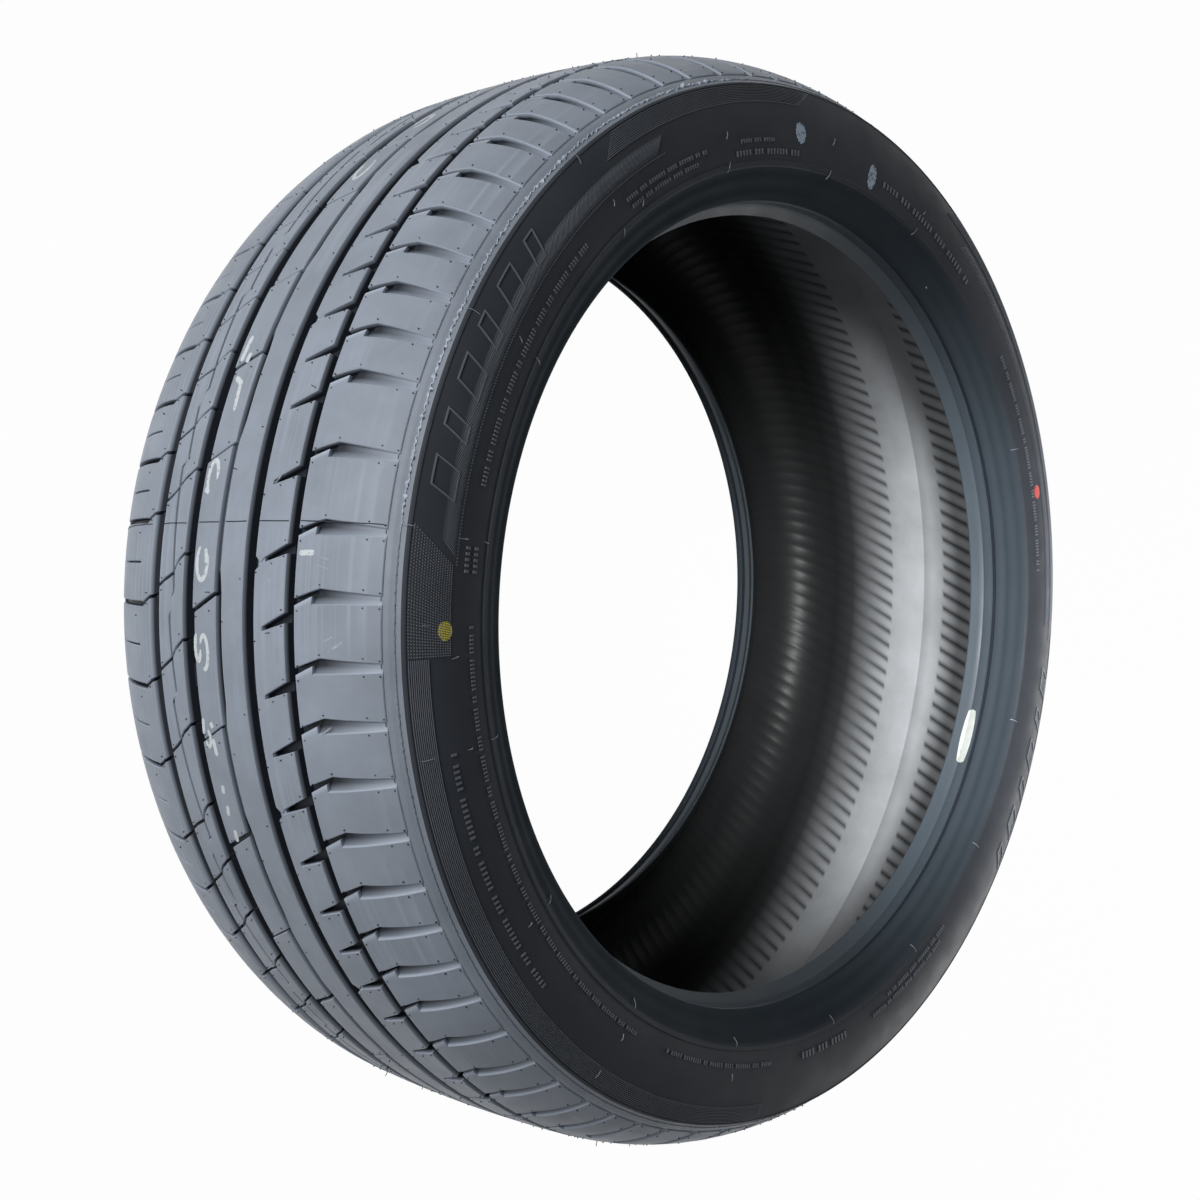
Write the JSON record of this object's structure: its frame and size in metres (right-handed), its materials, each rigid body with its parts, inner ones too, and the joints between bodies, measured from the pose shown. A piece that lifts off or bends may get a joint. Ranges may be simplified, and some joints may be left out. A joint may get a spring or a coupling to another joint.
{
  "type": "car tyre",
  "caption": "Low-profile car tyre off its rim, with an asymmetric grooved and siped tread, smooth sidewalls and open bead seats.",
  "frame": {"origin": "centre of the tyre, on its spin axis, midway between the sidewalls", "axes": "+Z along the spin axis, out of the sidewall beside the wide shoulder blocks; X and Y in the tyre's mid plane"},
  "size_m": [0.661, 0.661, 0.2594],
  "materials": {
    "tyre_rubber": "new satin black rubber, tread faces a bluish grey sheen"
  },
  "bodies": {
    "root": {"tyre": "tyre_rubber"}
  },
  "joints": []
}
